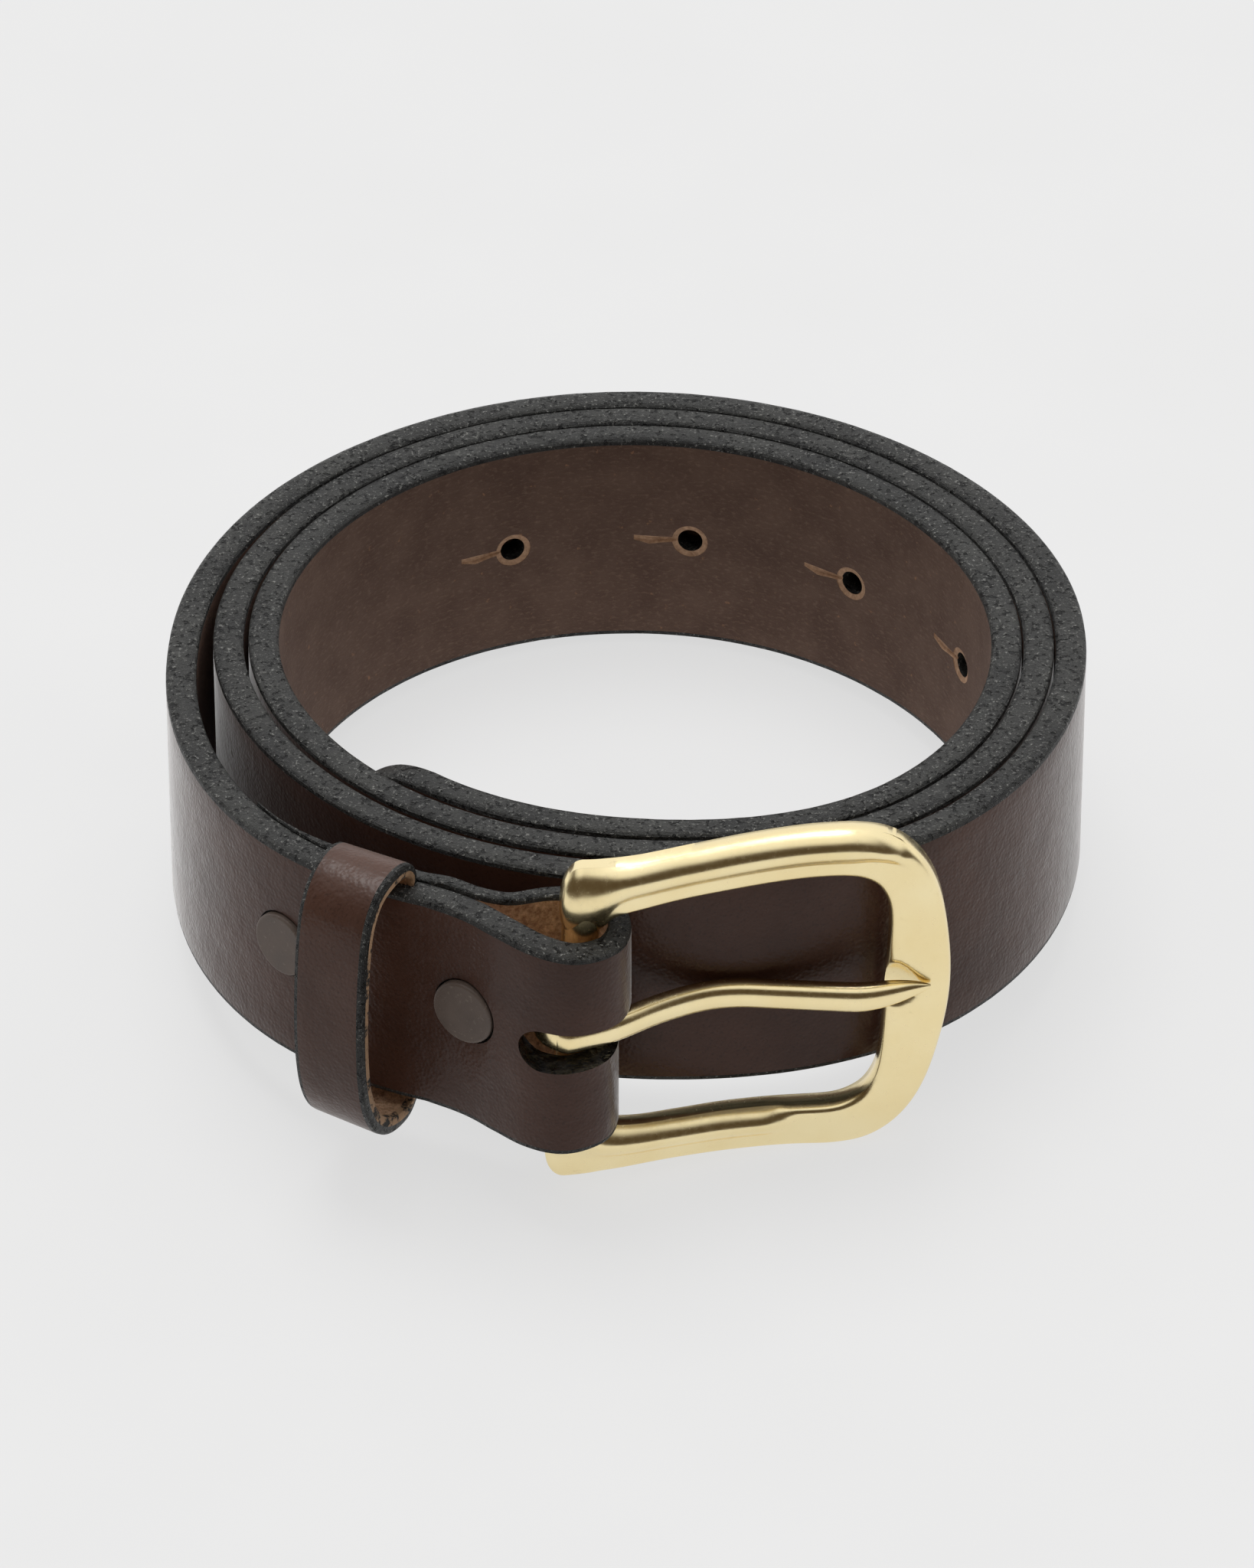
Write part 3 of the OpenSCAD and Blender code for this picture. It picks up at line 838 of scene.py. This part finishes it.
# Length and steps of the frame's rounded ends
END_L = 2.7
END_STEPS = 10


def bow(x):
    """How far back the frame's middle sits at x."""
    k = max(int(x // BOW_STEP) + 1, 1)
    return blend4(*FRAME_BOW[k - 1:k + 3], x / BOW_STEP + 1 - k)


def frame_line():
    """Points round the frame from the upper rounded end to the lower one:
    outer x, outer z, inner x, inner z, share of depth."""
    line = []
    for ox, oz, ix, iz, share in FRAME_HALF:
        lift = ARM_LIFT * ease(ox / 8)
        line.append((ox, oz + lift, ix, iz + lift, share))
    for ox, oz, ix, iz, share in reversed(FRAME_HALF):
        line.append((ox, -oz + ARM_CUT * ease(ox / 8), ix, -iz, share))
    smooth_line = blend_points([line[0]] + line + [line[-1]], FRAME_STEPS) + [line[-1]]
    return frame_end(smooth_line[0])[::-1] + smooth_line + frame_end(smooth_line[-1])


def frame_end(station):
    """Stations that round off one end of the frame, going away from it."""
    x, oz, _, iz, _ = station
    middle = (oz + iz) / 2
    half = (oz - iz) / 2
    made = []
    for k in range(1, END_STEPS + 1):
        a = math.pi / 2 * k / (END_STEPS + 0.5)
        far = x - END_L * math.sin(a)
        size = math.cos(a) ** 0.8
        made.append((far, middle + half * size, far, middle - half * size, size))
    return made


def ridge_shape(x, upper):
    """Middle, half width and height of the round ridge along an arm."""
    bulb = 1 - ease((x + 1) / 8)
    if upper:
        turn_in = ease((x - 33) / 10)
        middle = (0.32 + 0.33 * turn_in) * (1 - bulb)
        return middle, 0.71 + 0.30 * bulb - 0.44 * turn_in, 1 - ease((x - 37) / 7)
    return -0.33, 0.70, 1 - ease((x - 25) / 9)


def soft_max(a, b, room=0.35):
    """The larger of two levels, with a small fillet where they meet."""
    gap = max(room - abs(a - b), 0) / room
    return max(a, b) + gap * gap * room / 4


def frame_ring(station):
    """One section of the frame: rounded sides, a flat and a round ridge in front,
    and a flat back. Points run from the inner side over the front."""
    ox, oz, ix, iz, share = station
    mid_x = (ox + ix) / 2
    upper = oz > 0
    half_d = FRAME_D / 2 * share
    middle, width, height = ridge_shape(mid_x, upper)
    # the side of the ridge away from the flat steps down on the arms
    step = ease((height - RIDGE_CLEAR) / (1 - RIDGE_CLEAR)) * (1 if upper else -1)
    points = []
    levels = []
    for k in range(FRONT_SIDES + 1):
        q = -math.cos(math.pi * k / FRONT_SIDES)
        q = math.copysign(abs(q) ** 0.9, q)
        rim = (1 - abs(q) ** 8) ** 0.5 if abs(q) < 1 else 0
        away = max(0.0, step * math.copysign(1, q - middle))
        drop = SHOULDER_DROP * away * ease(abs(q - middle) / SHOULDER_W)
        flat = (FLAT_LEVEL - drop) * rim
        s = (q - middle) / width
        ridge = RIDGE_FOOT
        if abs(s) < 1:
            ridge = RIDGE_FOOT + 1.1 * height * (1 - s * s) ** 0.6
        levels.append((q, -soft_max(flat, ridge) * half_d))
    for k in range(1, BACK_SIDES):
        a = math.pi * k / BACK_SIDES
        q = math.copysign(abs(math.cos(a)) ** 0.5, math.cos(a))
        levels.append((q, half_d * math.sin(a) ** 0.35))
    for q, y in levels:
        f = (1 + q) / 2
        x = ix + (ox - ix) * f
        z = iz + (oz - iz) * f
        front = y < half_d * 0.6
        y += bow(mid_x)
        fade = ease((x - REST_X) / REST_L)
        off = abs(z - PRONG_Z)
        if z > PRONG_Z:
            off *= REST_R / (REST_R + SCOOP * (1 - fade))
        if mid_x > 30 and front and off < REST_R:
            y = max(y, REST_Y + math.sqrt(REST_R ** 2 - off ** 2) - 0.3 - REST_RISE * fade)
        points.append((x, y, z))
    return points


def buckle():
    """The frame, with its heel bar as a second closed body in the same mesh."""
    rings = [frame_ring(station) for station in frame_line()]
    mesh = loft("buckle_brass", rings)
    bar = lathe("heel_bar", [(HEEL_BAR_R, -HEEL_BAR_HALF), (HEEL_BAR_R, HEEL_BAR_HALF)], 48)
    made = bmesh.new()
    made.from_mesh(mesh)
    made.from_mesh(bar)
    made.to_mesh(mesh)
    made.free()
    bpy.data.meshes.remove(bar)
    obj = add_object("buckle_brass", mesh, AT_HEEL, [BRASS])
    smooth(obj, 40)
    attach(obj, "frame")
    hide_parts("buckle_frame")


# ---------- prong ----------
# The prong's middle line from its curl to its tip: x, y, share of full size
PRONG_LINE = [
    (4.8, -1.6, 1), (10.4, 2.5, 1), (16, 5.6, 1), (20.6, 6.8, 1),
    (26, 6.9, 1), (32, 6.9, 1), (36.8, 7.0, 1), (40.4, 7.5, 0.84), (43.4, 8.2, 0.48),
    (45.2, 8.7, 0.12),
]
PRONG_GAP = 0.05
PRONG_SIDES = 24
RING_T = 2.2
# How much higher the tip is than the shank
TIP_LIFT = 1.1
# How much thicker the curl is in front, where it runs into the shank
CURL_SWELL = 1.0


def prong_line():
    """The curl round the heel bar, then the shank: x, y, depth, height."""
    r = HEEL_BAR_R + PRONG_GAP + RING_T / 2
    curl = []
    for degrees in range(40, 271, 15):
        a = math.radians(degrees)
        swell = CURL_SWELL * ease((degrees - 125) / 90)
        middle_r = r + swell / 2
        curl.append((middle_r * math.cos(a), middle_r * math.sin(a), RING_T + swell, PRONG_H))
    shank = [(x, y, PRONG_D * share, PRONG_H * share) for x, y, share in PRONG_LINE]
    ends = curl + shank
    return blend_points([ends[0]] + ends + [ends[-1]], 4) + [ends[-1]]


def prong():
    line = prong_line()
    last = len(line) - 1
    rings = []
    for i, (x, y, depth, height) in enumerate(line):
        before = Vector(line[max(i - 1, 0)][:2])
        after = Vector(line[min(i + 1, last)][:2])
        d = (after - before).normalized()
        n = Vector((-d.y, d.x))
        ring = []
        lift = TIP_LIFT * ease((x - 35) / 10)
        dome = 1 - 0.5 * ease((3 - x) / 6)
        for k in range(PRONG_SIDES):
            a = 2 * math.pi * k / PRONG_SIDES
            c = math.cos(a)
            s = math.sin(a)
            across = math.copysign(abs(c) ** 0.8, c) * height / 2 + lift
            deep = depth * (-0.5 * abs(s) ** dome if s < 0 else 0.5 * s ** 0.5)
            ring.append((x + n.x * deep, y + n.y * deep, across))
        rings.append(ring)
    mesh = loft("prong_brass", rings)
    place = AT_HEEL @ Matrix.Translation((0, 0, PRONG_Z))
    obj = add_object("prong_brass", mesh, place, [BRASS])
    smooth(obj, 50)
    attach(obj, "prong")
    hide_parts("prong")


# ---------- carried-over CAD nodes ----------
def repaint(node, material):
    """Gives a CAD node whose shape is right its finished material."""
    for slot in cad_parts[node].material_slots:
        slot.material = material


strap()
keeper()
buckle()
prong()
for side in ("left", "right"):
    repaint("screw_post_" + side, CAP_PAINT)
    repaint("back_screw_" + side, CAP_PAINT)
repaint("keeper_staple", STEEL)


# ---------- stage, light and camera ----------
# Sizes and places from here on are in metres, and angles are in degrees.
FLOOR_HALF = 3.0
FLOOR_Z = -0.00005
# The strength of the floor's own light
FLOOR_GLOW = 0.665
# Colour of the room in front of and behind the belt, and where its back wall
# and ceiling begin and are full, as a direction's y and z
ROOM_DARK = (0.072, 0.052, 0.031)
ROOM_BRIGHT = (0.95, 0.95, 0.95)
BACK_WALL = (-0.25, 0.25)
CEILING = (0.72, 0.92)
SUN_POWER = 1.5
SUN_WIDTH = 32
SUN_LEAN = (-22, -6)
CAMERA_PLACE = (0, -0.9837, 0.8566)
CAMERA_ELEVATION = 40.46
# The lens and the sensor's height, in millimetres
LENS = 225.9
SENSOR_H = 36


def floor():
    """A wide sheet just under the belt."""
    mesh = bpy.data.meshes.new("floor")
    half = FLOOR_HALF
    corners = [(-half, -half, 0), (half, -half, 0), (half, half, 0), (-half, half, 0)]
    mesh.from_pydata(corners, [], [(0, 1, 2, 3)])
    mesh.materials.append(floor_paper())
    obj = bpy.data.objects.new("floor", mesh)
    bpy.context.scene.collection.objects.link(obj)
    obj.location.z = FLOOR_Z


def studio():
    """A wide bright room above and behind the belt, and dark behind the camera."""
    world = bpy.data.worlds.new("studio")
    world.use_nodes = True
    tree = world.node_tree
    background = tree.nodes["Background"]
    where = tree.nodes.new("ShaderNodeTexCoord").outputs["Generated"]
    split = tree.nodes.new("ShaderNodeSeparateXYZ")
    tree.links.new(where, split.inputs[0])

    def wall(axis, start, end):
        ramp = tree.nodes.new("ShaderNodeMapRange")
        ramp.interpolation_type = "SMOOTHSTEP"
        ramp.inputs["From Min"].default_value = start
        ramp.inputs["From Max"].default_value = end
        tree.links.new(split.outputs[axis], ramp.inputs["Value"])
        return ramp.outputs[0]

    behind = wall("Y", BACK_WALL[0], BACK_WALL[1])
    above = wall("Z", CEILING[0], CEILING[1])
    bright = tree.nodes.new("ShaderNodeMath")
    bright.operation = "MAXIMUM"
    tree.links.new(behind, bright.inputs[0])
    tree.links.new(above, bright.inputs[1])
    tint = tree.nodes.new("ShaderNodeMix")
    tint.data_type = "RGBA"
    tree.links.new(bright.outputs[0], tint.inputs[0])
    tint.inputs[6].default_value = (*ROOM_DARK, 1)
    tint.inputs[7].default_value = (*ROOM_BRIGHT, 1)
    tree.links.new(tint.outputs[2], background.inputs["Color"])
    background.inputs["Strength"].default_value = 1.0
    bpy.context.scene.world = world
    bpy.context.scene.view_settings.view_transform = "Standard"
    data = bpy.data.lights.new("key_light", "SUN")
    data.energy = SUN_POWER
    data.angle = math.radians(SUN_WIDTH)
    obj = bpy.data.objects.new("key_light", data)
    obj.rotation_euler = (math.radians(SUN_LEAN[0]), math.radians(SUN_LEAN[1]), 0)
    bpy.context.scene.collection.objects.link(obj)


def camera():
    """At the photograph's angle, with a long lens."""
    data = bpy.data.cameras.new("camera")
    data.sensor_fit = "VERTICAL"
    data.sensor_height = SENSOR_H
    data.lens = LENS
    data.clip_end = 20
    obj = bpy.data.objects.new("camera", data)
    obj.location = CAMERA_PLACE
    obj.rotation_euler = (math.pi / 2 - math.radians(CAMERA_ELEVATION), 0, 0)
    bpy.context.scene.collection.objects.link(obj)
    bpy.context.scene.camera = obj


floor()
studio()
camera()
